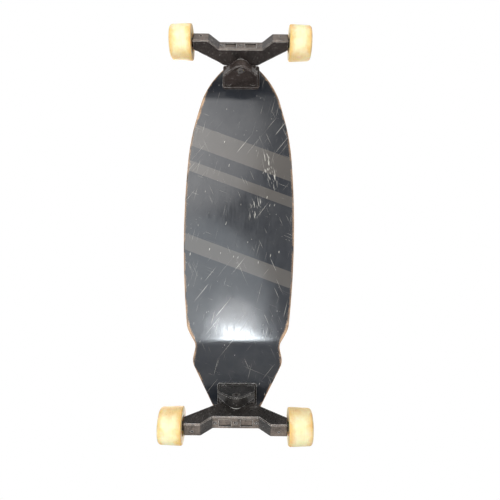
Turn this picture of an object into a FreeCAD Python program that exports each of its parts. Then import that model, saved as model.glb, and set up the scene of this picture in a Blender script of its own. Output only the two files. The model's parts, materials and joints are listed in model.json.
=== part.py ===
"""Longboard skateboard: a pressed deck on two sprung lean-steer trucks and four urethane wheels.

The frame stands on the ground midway between the axles: +X towards the nose, +Y to the left, +Z up.
Each truck is drawn once in the frames below and placed at both ends of the board.
  mount frame: on the deck's lower face above the pivot, X outboard along the deck, Z up through it
  pivot frame: on the pivot axis, Z along the axis (outboard and up), X from the axis to the axle
  wheel frame: on the axle at the wheel's inner face, Z along the axle and away from the board
"""
import FreeCAD, Part
import Sketcher
import math
import os

SIZES = (
    # whole board
    ("wheelbase", 782.0, "axle to axle"),
    # deck, seen from the side
    ("deck_thickness", 11.0, "pressed plywood"),
    ("kick_angle", 8.0, "rise of both ends, degrees"),
    ("nose_kick", 65.0, "truck datum back to the nose bend"),
    ("tail_kick", 129.0, "truck datum forward to the tail bend"),
    ("end_overhang", 14.0, "truck datum out to the end of the deck"),
    ("bend_radius", 140.0, "of the lower face at both bends"),
    # deck, seen from above: shares of the widest half width, and distances back from the deck's end
    ("body_half", 119.5, "widest half width"),
    ("nose_end_margin", 8.5, "nose end's corner past the deck bolts"),
    ("nose_flank_back", 46.0, "corner between nose and shoulder"),
    ("nose_flank_share", 0.64, "half width there, of the widest"),
    ("nose_flank_radius", 200.0, "rounding there"),
    ("nose_shoulder_back", 168.0, "corner where the nose meets the body"),
    ("nose_shoulder_radius", 520.0, "rounding there"),
    ("body_bow", 39.1, "how far the side's bow comes in over half a wheelbase"),
    ("body_middle", 12.0, "widest place, forward of the middle"),
    ("step_back", 168.0, "corner where the body steps in, from the tail end"),
    ("step_radius", 55.0, "rounding there"),
    ("waist_back", 135.0, "corner of the waist, from the tail end"),
    ("waist_share", 0.732, "half width there, of the widest"),
    ("waist_radius", 22.0, "rounding there"),
    ("hip_back", 99.0, "corner of the hip, from the tail end"),
    ("hip_share", 0.799, "half width there, of the widest"),
    ("hip_radius", 32.0, "rounding there"),
    ("tail_end_share", 0.402, "half width of the tail end, of the widest"),
    ("end_corner_radius", 12.0, "corners of both ends"),
    ("deck_edge_radius", 2.5, "rounding of the deck's edge"),
    # grip sheet
    ("grip_thickness", 0.9, "abrasive sheet on the standing side"),
    ("grip_inset", 2.8, "bare rim of deck round the sheet"),
    # deck bolts
    ("bolt_row", 41.3, "bolt spacing along the board"),
    ("bolt_span", 54.0, "bolt spacing across the board"),
    ("bolt_outer", 6.3, "truck datum out to the outer pair"),
    ("bolt_diameter", 5.0, "shank"),
    ("bolt_head_diameter", 9.6, "countersunk head"),
    ("bolt_reach", 10.0, "thread below the deck"),
    ("bolt_socket_flats", 3.0, "hexagon socket"),
    ("bolt_socket_depth", 1.9, "hexagon socket"),
    ("insert_diameter", 7.4, "threaded insert"),
    ("insert_length", 11.0, "threaded insert"),
    ("insert_wall", 3.0, "boss round an outer insert"),
    # truck geometry
    ("pivot_angle", 24.0, "pivot axis above the baseplate, degrees"),
    ("pivot_drop", 42.0, "pivot axis below the deck"),
    ("rake", 39.0, "pivot axis to axle"),
    # baseplate
    ("flange_inner", 43.0, "truck datum in to the flange edge"),
    ("flange_outer", 13.0, "truck datum out to the flange edge"),
    ("flange_rim", 4.5, "flange past the pedestal's sides"),
    ("flange_thickness", 6.0, "flange"),
    ("flange_corner_radius", 5.0, "flange corners"),
    ("tower_half", 36.5, "half width of the pedestal"),
    ("tower_inset", 4.5, "flange edge back to the pedestal"),
    ("tower_edge_chamfer", 2.5, "lower edge of the pedestal's inner face"),
    ("foot_depth", 14.5, "pivot axis down to the pedestal's foot"),
    ("foot_radius", 20.0, "rounding of the foot"),
    ("saddle_reach", 4.0, "saddle over the hanger hub, past the axle plane"),
    ("hub_gap", 2.0, "saddle to hanger hub"),
    # hanger
    ("hanger_width", 200.0, "between the arm ends"),
    ("hanger_inner", 19.0, "inner face, from the axle plane"),
    ("hanger_outer", 12.5, "outer face, from the axle plane"),
    ("centre_half", 45.0, "half width of the flat middle"),
    ("centre_rise", 4.0, "lower edge of the middle above the axle"),
    ("foot_half", 67.0, "start of the flat arm ends"),
    ("foot_drop", 14.0, "lower edge of the arm ends below the axle"),
    ("arm_rise", 6.0, "upper edge of the arm ends above the axle"),
    ("neck_half", 36.0, "half width at the neck"),
    ("neck_rise", 2.0, "neck above the pivot axis"),
    ("hub_radius", 24.0, "round the pivot axis"),
    ("hanger_corner_radius", 5.0, "corners of the outline"),
    ("arm_end_radius", 2.4, "corners of the arm ends"),
    ("hanger_edge_chamfer", 2.0, "edges of both faces"),
    ("axle_boss_radius", 9.0, "at each arm end"),
    ("pocket_start", 9.0, "lightening pocket, from the middle"),
    ("pocket_width", 24.0, "lightening pocket"),
    ("pocket_height", 18.0, "lightening pocket"),
    ("pocket_depth", 2.6, "lightening pocket"),
    ("eye_span", 81.0, "round sockets beside the pockets"),
    ("eye_radius", 3.8, "round sockets and the middle mark"),
    ("eye_pin_radius", 1.6, "pin left standing in each"),
    ("eye_depth", 2.6, "round sockets"),
    # kingpin and centring spring
    ("kingpin_diameter", 10.0, "shank"),
    ("kingpin_thread", 8.0, "threaded end"),
    ("kingpin_head_diameter", 13.0, "round head"),
    ("kingpin_head_height", 5.0, "round head"),
    ("kingpin_socket_flats", 6.0, "hexagon socket"),
    ("kingpin_socket_depth", 3.5, "hexagon socket"),
    ("kingpin_end", 2.0, "thread past the nut"),
    ("kingpin_nut_flats", 13.0, "lock nut"),
    ("kingpin_nut_height", 8.0, "lock nut"),
    ("kingpin_washer_diameter", 18.0, "washer"),
    ("kingpin_washer_thickness", 1.5, "washer"),
    ("head_recess_radius", 7.6, "in the pedestal's inner face"),
    ("head_recess_depth", 6.1, "in the pedestal's inner face, on the axis"),
    ("bush_wall", 1.5, "flanged pivot bush"),
    ("bush_flange_thickness", 1.2, "flanged pivot bush"),
    ("bush_flange_radius", 7.3, "flanged pivot bush"),
    ("thrust_washer_thickness", 1.5, "between pedestal and hanger"),
    ("spring_wire", 4.0, "torsion spring"),
    ("spring_radius", 8.5, "mean radius of the turns"),
    ("spring_turns", 3.5, "a whole number and a half"),
    ("spring_leg", 11.0, "straight end"),
    ("chamber_radius", 11.0, "spring chamber"),
    ("chamber_depth", 21.0, "spring chamber in the hanger"),
    ("recess_depth", 5.4, "spring recess in the pedestal"),
    # lock nuts
    ("nut_hexagon_share", 0.7, "height of the hexagon, of the nut"),
    ("nut_collar_share", 0.94, "collar over the locking ring, of the flats"),
    ("nut_collar_rounding", 0.8, "upper edge of the collar"),
    # axles
    ("axle_diameter", 8.0, "stub axle"),
    ("axle_depth", 40.0, "inside the arm, from the wheel's inner face"),
    ("axle_end", 1.5, "thread past the nut"),
    ("axle_nut_flats", 13.0, "lock nut"),
    ("axle_nut_height", 8.0, "lock nut"),
    ("speed_washer_thickness", 1.0, "each side of the bearings"),
    ("speed_washer_diameter", 11.4, "each side of the bearings"),
    ("screw_half", 83.0, "axle set screw, from the middle"),
    ("screw_diameter", 5.0, "axle set screw"),
    ("screw_length", 8.0, "axle set screw"),
    ("screw_socket_flats", 2.5, "hexagon socket"),
    ("screw_socket_depth", 3.0, "hexagon socket"),
    # wheels
    ("wheel_diameter", 72.0, "tread"),
    ("wheel_width", 46.0, "tyre"),
    ("wheel_gap", 1.5, "arm end to wheel"),
    ("tread_flat", 10.0, "full diameter from the inner face"),
    ("tread_drop", 1.6, "taper of the tread to the outer face"),
    ("inner_lip_radius", 2.5, "rounding of the inner lip"),
    ("outer_lip_radius", 7.0, "rounding of the outer lip"),
    ("inner_mouth_radius", 20.0, "recess in the inner face"),
    ("outer_mouth_radius", 22.0, "recess in the outer face"),
    ("mouth_edge_radius", 1.2, "rounding of both mouths"),
    ("wheel_hub_radius", 16.5, "nylon hub"),
    ("bearing_start", 9.0, "wheel's inner face to the first bearing"),
    ("spacer_length", 10.0, "between the bearings"),
    ("spacer_diameter", 10.8, "between the bearings"),
    # ball bearings
    ("bearing_diameter", 22.0, "outside"),
    ("bearing_width", 7.0, "each bearing"),
    ("outer_race_bore", 18.0, "shoulder"),
    ("inner_race_diameter", 12.0, "shoulder"),
    ("ball_diameter", 3.96, "balls"),
    ("ball_pitch_diameter", 15.0, "circle of the balls"),
    ("groove_radius", 2.02, "both races"),
    ("shield_thickness", 0.4, "part of the outer race"),
    ("shield_inset", 0.5, "from the bearing's face"),
    ("cage_wall", 1.2, "ball cage"),
    ("cage_length", 4.4, "ball cage"),
    # clearances
    ("fit_clearance", 0.02, "pressed and screwed pieces, on the radius"),
    ("running_clearance", 0.05, "turning shafts, on the radius"),
    ("running_gap", 0.1, "turning faces"),
    ("loose_clearance", 0.35, "loose pieces and the spring's ends"),
)
BALLS_PER_BEARING = 7
HEXAGON_TURN = 15  # degrees, so that no corner of a hexagon lies on an axis

doc = FreeCAD.newDocument("longboard")
sheet = doc.addObject("Spreadsheet::Sheet", "size")
for row, (alias, number, note) in enumerate(SIZES, start=1):
    sheet.set(f"A{row}", alias)
    sheet.set(f"B{row}", str(number))
    sheet.set(f"C{row}", note)
    sheet.setAlias(f"B{row}", alias)
doc.recompute()

# Places worked out from the sheet, as expressions.
AXLE_OUT = "(size.rake * sin(size.pivot_angle))"
AXLE_DOWN = "(size.pivot_drop + size.rake * cos(size.pivot_angle))"
KICK_COS = "cos(size.kick_angle)"
KICK_SIN = "sin(size.kick_angle)"
MOUNT_X = f"(size.wheelbase / 2 - {AXLE_OUT} * {KICK_COS} - {AXLE_DOWN} * {KICK_SIN})"
MOUNT_Z = f"(size.wheel_diameter / 2 - {AXLE_OUT} * {KICK_SIN} + {AXLE_DOWN} * {KICK_COS})"
DECK_END = f"({MOUNT_X} + size.end_overhang * {KICK_COS})"
PITCH = (f"(asin((size.tail_kick - size.nose_kick) * {KICK_SIN}"
         f" / (2 * {MOUNT_X} - (size.tail_kick + size.nose_kick) * {KICK_COS})) / 1 deg)")
STOCK_TOP = f"(2 * {MOUNT_Z})"
BODY_RADIUS = "((size.wheelbase ^ 2 / 4 + size.body_bow ^ 2) / (2 * size.body_bow))"
TOWER_FACE = "(size.hanger_inner + size.thrust_washer_thickness + size.running_gap)"
RECESS_FLOOR = f"({TOWER_FACE} + size.recess_depth)"
FACE_ON_AXIS = "((size.flange_inner - size.tower_inset) / cos(size.pivot_angle))"
FLANGE_HALF = "(size.tower_half + size.flange_rim)"
HEAD_FLOOR = f"({FACE_ON_AXIS} - size.head_recess_depth)"
HEAD_SEAT = f"({HEAD_FLOOR} + size.bush_flange_thickness + size.running_gap)"
CHAMBER_FLOOR = "(size.chamber_depth - size.hanger_inner)"
NUT_SEAT = "(size.hanger_outer + size.kingpin_washer_thickness)"
BUSH_BORE = "(size.kingpin_diameter / 2 + size.running_clearance)"
BUSH_RADIUS = f"({BUSH_BORE} + size.bush_wall)"
WHEEL_INNER = "(size.hanger_width / 2 + size.wheel_gap)"
BEARING_END = "(size.bearing_start + 2 * size.bearing_width + size.spacer_length)"
SLOT_HALF = "(size.spring_wire / 2 + size.loose_clearance)"


def value(expression):
    """Number that an expression of the sheet's sizes stands for."""
    found = sheet.evalExpression(expression)
    return float(getattr(found, "Value", found))


def vector(x, y, z):
    """Point whose coordinates are expressions."""
    return FreeCAD.Vector(value(x), value(y), value(z))


def turned(axis, degrees):
    """Placement at the origin, turned about an axis."""
    return FreeCAD.Placement(FreeCAD.Vector(), FreeCAD.Rotation(axis, degrees))


AXIS_X = FreeCAD.Vector(1, 0, 0)
AXIS_Y = FreeCAD.Vector(0, 1, 0)
AXIS_Z = FreeCAD.Vector(0, 0, 1)


# Sketches and features

def new_body(label, placement=FreeCAD.Placement()):
    """Empty body, named as its sub-part."""
    body = doc.addObject("PartDesign::Body", label)
    body.Label = label
    body.Placement = placement
    return body


def new_sketch(body, plane="XY_Plane", offset=None, turn=None):
    """Sketch on one of the body's planes, shifted by expressions and turned about the plane's Y axis."""
    sketch = body.newObject("Sketcher::SketchObject", f"{body.Name}_sketch")
    support = [feature for feature in body.Origin.OriginFeatures if feature.Role == plane]
    sketch.AttachmentSupport = [(support[0], "")]
    sketch.MapMode = "FlatFace"
    if turn is not None:
        sketch.AttachmentOffset = turned(AXIS_Y, value(turn))
        sketch.setExpression("AttachmentOffset.Rotation.Angle", turn)
    for axis, expression in (offset or {}).items():
        sketch.setExpression(f"AttachmentOffset.Base.{axis}", expression)
    return sketch


def pivot_sketch(body, level):
    """Sketch square to the pivot axis in a body drawn in the mount frame, level mm along the axis."""
    offset = {"x": f"({level}) * cos(size.pivot_angle)",
              "z": f"({level}) * sin(size.pivot_angle) - size.pivot_drop"}
    return new_sketch(body, offset=offset, turn="90 - size.pivot_angle")


def pin_point(sketch, edge, point, spot):
    """Hold a point of the sketch at a pair of expressions."""
    for kind, axis, expression in (("DistanceX", -2, spot[0]), ("DistanceY", -1, spot[1])):
        if expression == "0":
            sketch.addConstraint(Sketcher.Constraint("PointOnObject", edge, point, axis))
        else:
            held = Sketcher.Constraint(kind, -1, 1, edge, point, value(expression))
            number = sketch.addConstraint(held)
            sketch.setExpression(f"Constraints[{number}]", expression)


def bowed(start, end, radius):
    """Arc that leaves a chord on its right-hand side."""
    chord = end - start
    rise = radius - math.sqrt(radius * radius - chord.Length * chord.Length / 4)
    middle = (start + end) * 0.5 + FreeCAD.Vector(chord.y, -chord.x, 0).normalize() * rise
    return Part.Arc(start, middle, end)


def polygon(sketch, corners, bows=()):
    """Closed outline, anticlockwise, with a pair of expressions for each corner.

    Sides named in bows by the number of their first corner are arcs of the given radius.
    """
    spots = [vector(x, y, "0") for x, y in corners]
    first = sketch.GeometryCount
    count = len(spots)
    radii = dict(bows)
    for index in range(count):
        start = spots[index]
        end = spots[(index + 1) % count]
        if index in radii:
            sketch.addGeometry(bowed(start, end, value(radii[index])))
        else:
            sketch.addGeometry(Part.LineSegment(start, end))
    for index in range(count):
        joined = Sketcher.Constraint("Coincident", first + index, 2, first + (index + 1) % count, 1)
        sketch.addConstraint(joined)
    for index, corner in enumerate(corners):
        pin_point(sketch, first + index, 1, corner)
    for index, radius in radii.items():
        number = sketch.addConstraint(Sketcher.Constraint("Radius", first + index, value(radius)))
        sketch.setExpression(f"Constraints[{number}]", radius)


def rectangle(sketch, left, right, low, high):
    """Upright rectangle between four expressions."""
    polygon(sketch, ((left, low), (right, low), (right, high), (left, high)))


def circle(sketch, radius, spot=("0", "0")):
    """Circle at a pair of expressions."""
    edge = sketch.addGeometry(Part.Circle(vector(*spot, "0"), AXIS_Z, value(radius)))
    pin_point(sketch, edge, 3, spot)
    number = sketch.addConstraint(Sketcher.Constraint("Radius", edge, value(radius)))
    sketch.setExpression(f"Constraints[{number}]", radius)


def hexagon(sketch, flats, spot=("0", "0")):
    """Hexagon with a width across its flats."""
    corners = []
    for step in range(6):
        corners.append((f"{spot[0]} + {flats} / sqrt(3) * cos({60 * step + HEXAGON_TURN})",
                        f"{spot[1]} + {flats} / sqrt(3) * sin({60 * step + HEXAGON_TURN})"))
    polygon(sketch, corners)


def extrude(body, sketch, length, back=False):
    """Add a sketch's area along its normal, or against it."""
    pad = body.newObject("PartDesign::Pad", f"{body.Name}_pad")
    pad.Profile = sketch
    pad.setExpression("Length", length)
    pad.Reversed = back
    doc.recompute()
    return pad


def carve(body, sketch, length, along=False):
    """Take a sketch's area away against its normal, or along it, and see that it cut."""
    before = body.Shape.Volume
    pocket = body.newObject("PartDesign::Pocket", f"{body.Name}_pocket")
    pocket.Profile = sketch
    pocket.setExpression("Length", length)
    pocket.Reversed = along
    doc.recompute()
    if not body.Shape.Volume < before - 1e-6:
        raise RuntimeError(f"a pocket of {body.Label} cuts nothing")
    return pocket


def revolve(body, outlines):
    """Turn closed outlines of radius and height about the body's Z axis."""
    sketch = new_sketch(body, "XZ_Plane")
    for corners in outlines:
        polygon(sketch, corners)
    turn = body.newObject("PartDesign::Revolution", f"{body.Name}_turn")
    turn.Profile = sketch
    turn.ReferenceAxis = (sketch, ["V_Axis"])
    turn.Angle = 360
    doc.recompute()
    return turn


def groove(body, spots, radius):
    """Cut round grooves, each at a radius and height, about the body's Z axis."""
    sketch = new_sketch(body, "XZ_Plane")
    for spot in spots:
        circle(sketch, radius, spot)
    cut = body.newObject("PartDesign::Groove", f"{body.Name}_groove")
    cut.Profile = sketch
    cut.ReferenceAxis = (sketch, ["V_Axis"])
    cut.Angle = 360
    doc.recompute()


def dress(body, kind, prop, expression, chosen):
    """Fillet or chamfer the edges of the body that a test chooses."""
    base = body.Tip
    names = [f"Edge{number}" for number, edge in enumerate(base.Shape.Edges, start=1) if chosen(edge)]
    if not names:
        raise RuntimeError(f"no edge of {body.Label} to dress")
    feature = body.newObject(f"PartDesign::{kind}", f"{body.Name}_{kind.lower()}")
    feature.Base = (base, names)
    feature.setExpression(prop, expression)
    doc.recompute()


def fillet(body, expression, chosen):
    dress(body, "Fillet", "Radius", expression, chosen)


def chamfer(body, expression, chosen):
    dress(body, "Chamfer", "Size", expression, chosen)


def near(first, second, gap=1e-4):
    return abs(first - second) < gap


def upright_at(x, y):
    """Test for an edge parallel to Z at a place seen from above."""
    def chosen(edge):
        ends = [vertex.Point for vertex in edge.Vertexes]
        return all(near(end.x, x) and near(end.y, y) for end in ends)
    return chosen


def across_at(x, z):
    """Test for an edge parallel to Y at a place seen from the side."""
    def chosen(edge):
        ends = [vertex.Point for vertex in edge.Vertexes]
        return all(near(end.x, x) and near(end.z, z) for end in ends)
    return chosen


def ring_at(radius, height):
    """Test for a circle about Z."""
    def chosen(edge):
        if not isinstance(edge.Curve, Part.Circle):
            return False
        return near(edge.Curve.Radius, radius) and near(edge.Curve.Center.z, height)
    return chosen


# Deck and grip sheet

def side_corner(bend, offset):
    """Corner of the side view at nose, nose_bend, tail_bend or tail, offset above the deck's lower face."""
    sign = "" if bend.startswith("nose") else "-"
    if bend.endswith("bend"):
        reach = f"(-size.{bend[:4]}_kick)"
        pitch = PITCH if bend.startswith("nose") else f"(-{PITCH})"
        lean = f"((size.kick_angle + {pitch}) / 2)"
        rise = f"(({offset}) / cos((size.kick_angle - {pitch}) / 2))"
    else:
        reach = "(2 * size.end_overhang + size.body_half)"
        lean = "size.kick_angle"
        rise = f"({offset})"
    x = f"{sign}({MOUNT_X} + {reach} * {KICK_COS} - {rise} * sin({lean}))"
    z = f"({MOUNT_Z} + {reach} * {KICK_SIN} + {rise} * cos({lean}))"
    return x, z


def body_side(x):
    """Half width of the bowed body."""
    level = f"sqrt({BODY_RADIUS} ^ 2 - ({x} - size.body_middle) ^ 2)"
    return f"(size.body_half - {BODY_RADIUS} + {level})"


BOWED_SIDE = 2  # of the plan's left half, from the nose shoulder to the step


def plan_half(inset):
    """Left half of the deck seen from above: corners from nose to tail, each with its rounding."""
    shoulder = f"({DECK_END} - size.nose_shoulder_back)"
    step = f"(size.step_back - {DECK_END})"
    places = (
        (f"{DECK_END} - {inset}", "size.bolt_span / 2 + size.nose_end_margin", "end_corner"),
        (f"{DECK_END} - size.nose_flank_back", "size.body_half * size.nose_flank_share", "nose_flank"),
        (shoulder, body_side(shoulder), "nose_shoulder"),
        (step, body_side(step), "step"),
        (f"size.waist_back - {DECK_END}", "size.body_half * size.waist_share", "waist"),
        (f"size.hip_back - {DECK_END}", "size.body_half * size.hip_share", "hip"),
        (f"{inset} - {DECK_END}", "size.body_half * size.tail_end_share", "end_corner"),
    )
    return [((x, f"{y} - {inset}"), f"size.{corner}_radius") for x, y, corner in places]


def pressed_sheet(label, inset, low, high):
    """Sheet with the deck's plan and bends, between two heights above the deck's lower face."""
    body = new_body(label)
    half = plan_half(inset)
    left = [corner for corner, rounding in half]
    right = [(x, f"-({y})") for x, y in reversed(left)]
    plan = new_sketch(body)
    bow = f"{BODY_RADIUS} - {inset}"
    mirrored_side = len(left) + len(right) - 2 - BOWED_SIDE
    polygon(plan, left + right, ((BOWED_SIDE, bow), (mirrored_side, bow)))
    extrude(body, plan, STOCK_TOP)
    for (x, y), rounding in half:
        spot = (value(x), value(y))
        mirrored = upright_at(spot[0], -spot[1])
        straight = upright_at(*spot)
        fillet(body, rounding, lambda edge: straight(edge) or mirrored(edge))
    bends = ("nose", "nose_bend", "tail_bend", "tail")
    for offset, limit in ((high, f"2 * {STOCK_TOP}"), (low, f"-{STOCK_TOP}")):
        chain = [side_corner(bend, offset) for bend in bends]
        side = new_sketch(body, "XZ_Plane", {"z": "2 * size.body_half"})
        polygon(side, chain + [(chain[-1][0], limit), (chain[0][0], limit)])
        carve(body, side, "4 * size.body_half")
    for offset in (high, low):
        for bend in bends[1:3]:
            x, z = side_corner(bend, offset)
            fillet(body, f"size.bend_radius - ({offset})", across_at(value(x), value(z)))
    return body


def bolt_spots():
    """The four deck bolts in the mount frame."""
    spots = []
    for x in ("size.bolt_outer", "(size.bolt_outer - size.bolt_row)"):
        for side in ("", "-"):
            spots.append((x, f"{side}size.bolt_span / 2"))
    return spots


def drill_for_bolts(body, radius, depth):
    """Holes for both trucks' deck bolts, square to the kicked ends."""
    for sign in ("", "-"):
        offset = {"x": f"{sign}{MOUNT_X}", "z": MOUNT_Z}
        turn = "size.kick_angle" if sign else "-size.kick_angle"
        sketch = new_sketch(body, offset=offset, turn=turn)
        for x, y in bolt_spots():
            circle(sketch, radius, (f"{sign}{x}", y))
        carve(body, sketch, depth, along=True)


def make_deck():
    body = pressed_sheet("deck", "0", "0", "size.deck_thickness")
    rim = [face for face in body.Tip.Shape.Faces if near(face.normalAt(*mid_face(face)).z, 0)]
    rim_edges = [edge for face in rim for edge in face.Edges]

    def on_rim(edge):
        ends = [vertex.Point for vertex in edge.Vertexes]
        level = abs(ends[0].z - ends[-1].z) < abs(ends[0].x - ends[-1].x) + abs(ends[0].y - ends[-1].y)
        return level and any(edge.isSame(other) for other in rim_edges)

    fillet(body, "size.deck_edge_radius", on_rim)
    hole = "size.bolt_diameter / 2 + size.running_clearance"
    drill_for_bolts(body, hole, "2 * size.deck_thickness")
    middle = value(f"{MOUNT_Z} + size.deck_thickness / 2")

    def upper_rim(edge):
        if not isinstance(edge.Curve, Part.Circle) or not near(edge.Curve.Radius, value(hole)):
            return False
        local = mount_frame(1 if edge.Curve.Center.x > 0 else -1).inverse().multVec(edge.Curve.Center)
        return local.z + value(MOUNT_Z) > middle

    chamfer(body, "(size.bolt_head_diameter - size.bolt_diameter) / 2", upper_rim)
    return body


def mid_face(face):
    """Middle of a face in its own parameters."""
    low_u, high_u, low_v, high_v = face.ParameterRange
    return (low_u + high_u) / 2, (low_v + high_v) / 2


def make_grip():
    top = "size.deck_thickness + size.grip_thickness"
    body = pressed_sheet("grip_tape", "size.grip_inset", "size.deck_thickness", top)
    drill_for_bolts(body, "size.bolt_head_diameter / 2 + size.loose_clearance", f"2 * ({top})")
    return body


# Frames of the two trucks

def mount_frame(sign):
    """On the deck's lower face above the pivot: sign 1 at the nose, -1 at the tail."""
    spot = vector(f"{sign} * {MOUNT_X}", "0", MOUNT_Z)
    facing = FreeCAD.Rotation(AXIS_Z, 0 if sign > 0 else 180)
    return FreeCAD.Placement(spot, facing * FreeCAD.Rotation(AXIS_Y, -value("size.kick_angle")))


def pivot_frame(sign):
    """On the pivot axis, abreast of the axle."""
    lean = FreeCAD.Rotation(AXIS_Y, 90 - value("size.pivot_angle"))
    return mount_frame(sign) * FreeCAD.Placement(vector("0", "0", "-size.pivot_drop"), lean)


def wheel_frame(sign, side):
    """On the axle at the wheel's inner face: side 1 or -1 along the pivot frame's Y."""
    spot = vector("size.rake", f"{side} * {WHEEL_INNER}", "0")
    return pivot_frame(sign) * FreeCAD.Placement(spot, FreeCAD.Rotation(AXIS_X, -90 * side))


# Pieces fixed to the deck

def make_baseplate(label, sign):
    body = new_body(label, mount_frame(sign))
    round_half = "size.foot_radius * sin(45)"
    tangent = "(size.foot_depth - size.foot_radius + size.foot_radius * cos(45))"
    knee = f"{tangent} - (size.tower_half - {round_half})"
    far = f"({FACE_ON_AXIS} + 2 * size.pivot_drop)"
    tower = pivot_sketch(body, f"-{far}")
    polygon(tower, ((f"-{far}", "size.tower_half"), (f"-{far}", "-size.tower_half"),
                    (knee, "-size.tower_half"), (tangent, f"-{round_half}"), (tangent, round_half),
                    (knee, "size.tower_half")), ((3, "size.foot_radius"),))
    extrude(body, tower, f"{far} - {TOWER_FACE}")
    saddle = pivot_sketch(body, f"-{far}")
    rectangle(saddle, f"-{far}", "-(size.hub_radius + size.hub_gap)", "-size.tower_half", "size.tower_half")
    extrude(body, saddle, f"{far} + size.saddle_reach")

    reach = f"2 * {far}"
    above = new_sketch(body)
    rectangle(above, f"-{reach}", reach, f"-{reach}", reach)
    carve(body, above, reach, along=True)
    face = "size.tower_inset - size.flange_inner"
    inboard = new_sketch(body)
    rectangle(inboard, f"-{reach}", face, f"-{reach}", reach)
    carve(body, inboard, reach)
    face_x = value(face)

    def foot_of_face(edge):
        ends = [vertex.Point for vertex in edge.Vertexes]
        upright = near(ends[0].y, ends[-1].y)
        top = near(ends[0].z, ends[-1].z) and isinstance(edge.Curve, Part.Line)
        return not upright and not top and all(near(end.x, face_x) for end in ends)

    chamfer(body, "size.tower_edge_chamfer", foot_of_face)
    flange = new_sketch(body)
    rectangle(flange, "-size.flange_inner", "size.flange_outer", f"-{FLANGE_HALF}", FLANGE_HALF)
    extrude(body, flange, "size.flange_thickness", back=True)
    for x in ("-size.flange_inner", "size.flange_outer"):
        for y in (f"-{FLANGE_HALF}", FLANGE_HALF):
            fillet(body, "size.flange_corner_radius", upright_at(value(x), value(y)))
    bosses = new_sketch(body)
    for spot in bolt_spots():
        circle(bosses, "size.insert_diameter / 2 + size.insert_wall", spot)
    extrude(body, bosses, "size.insert_length + size.insert_wall / 2", back=True)
    holes = new_sketch(body)
    for spot in bolt_spots():
        circle(holes, "size.insert_diameter / 2 + size.fit_clearance", spot)
    carve(body, holes, "size.insert_length")

    bore = pivot_sketch(body, f"-{far}")
    circle(bore, f"{BUSH_RADIUS} + size.fit_clearance")
    carve(body, bore, far, along=True)
    head = pivot_sketch(body, f"-{far}")
    circle(head, "size.head_recess_radius")
    carve(body, head, f"{far} - {HEAD_FLOOR}", along=True)
    recess = pivot_sketch(body, f"-{TOWER_FACE}")
    circle(recess, "size.chamber_radius")
    carve(body, recess, "size.recess_depth")
    slot = pivot_sketch(body, f"-{TOWER_FACE}")
    rectangle(slot, f"-size.spring_radius - {SLOT_HALF}", f"-size.spring_radius + {SLOT_HALF}",
              "0", "size.spring_leg + size.loose_clearance")
    carve(body, slot, "size.recess_depth")
    return body


def make_inserts(label, sign):
    body = new_body(label, mount_frame(sign))
    sketch = new_sketch(body)
    for spot in bolt_spots():
        circle(sketch, "size.insert_diameter / 2", spot)
        circle(sketch, "size.bolt_diameter / 2 + size.fit_clearance", spot)
    extrude(body, sketch, "size.insert_length", back=True)
    return body


def make_bolts(label, sign):
    body = new_body(label, mount_frame(sign))
    shank = new_sketch(body, offset={"z": "-size.bolt_reach"})
    for spot in bolt_spots():
        circle(shank, "size.bolt_diameter / 2", spot)
    extrude(body, shank, "size.bolt_reach + size.deck_thickness")
    head_height = "(size.bolt_head_diameter - size.bolt_diameter) / 2"
    heads = new_sketch(body, offset={"z": f"size.deck_thickness - {head_height}"})
    for spot in bolt_spots():
        circle(heads, "size.bolt_head_diameter / 2 - size.running_clearance", spot)
    extrude(body, heads, head_height)
    lower = value(f"size.deck_thickness - {head_height}")
    chamfer(body, f"{head_height} - 2 * size.running_clearance",
            ring_at(value("size.bolt_head_diameter / 2 - size.running_clearance"), lower))
    sockets = new_sketch(body, offset={"z": "size.deck_thickness"})
    for spot in bolt_spots():
        hexagon(sockets, "size.bolt_socket_flats", spot)
    carve(body, sockets, "size.bolt_socket_depth")
    return body


def make_bush(label, sign):
    body = new_body(label, pivot_frame(sign))
    revolve(body, [((BUSH_BORE, f"-{RECESS_FLOOR}"), (BUSH_RADIUS, f"-{RECESS_FLOOR}"),
                    (BUSH_RADIUS, f"-{HEAD_FLOOR}"), ("size.bush_flange_radius", f"-{HEAD_FLOOR}"),
                    ("size.bush_flange_radius", f"-({HEAD_FLOOR} + size.bush_flange_thickness)"),
                    (BUSH_BORE, f"-({HEAD_FLOOR} + size.bush_flange_thickness)"))])
    return body


def make_thrust_washer(label, sign):
    body = new_body(label, pivot_frame(sign))
    inner = "size.chamber_radius + size.loose_clearance"
    low = f"-{TOWER_FACE}"
    high = "-(size.hanger_inner + size.running_gap)"
    outer = "size.foot_depth"
    revolve(body, [((inner, low), (outer, low), (outer, high), (inner, high))])
    return body


def biarc(start, start_way, end, end_way):
    """Two arcs that leave one point along a direction and reach another along its own direction."""
    span = end - start
    total = start_way + end_way
    square = 2 * (1 - start_way.dot(end_way))
    along = span.dot(total)
    reach = (math.sqrt(along * along + square * span.dot(span)) - along) / square
    first = start + start_way * reach
    second = end - end_way * reach
    middle = (first + second) * 0.5
    edges = []
    halves = ((start, first, middle, start_way), (middle, second, end, second - middle))
    for tip, corner, other, way in halves:
        chord = other - tip
        heading = FreeCAD.Vector(way).normalize()
        normal = (chord - heading * chord.dot(heading)).normalize()
        radius = chord.dot(chord) / (2 * chord.dot(normal))
        centre = tip + normal * radius
        bulge = (corner - centre).normalize() * radius
        edges.append(Part.Arc(tip, centre + bulge, other).toShape())
    return edges


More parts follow.
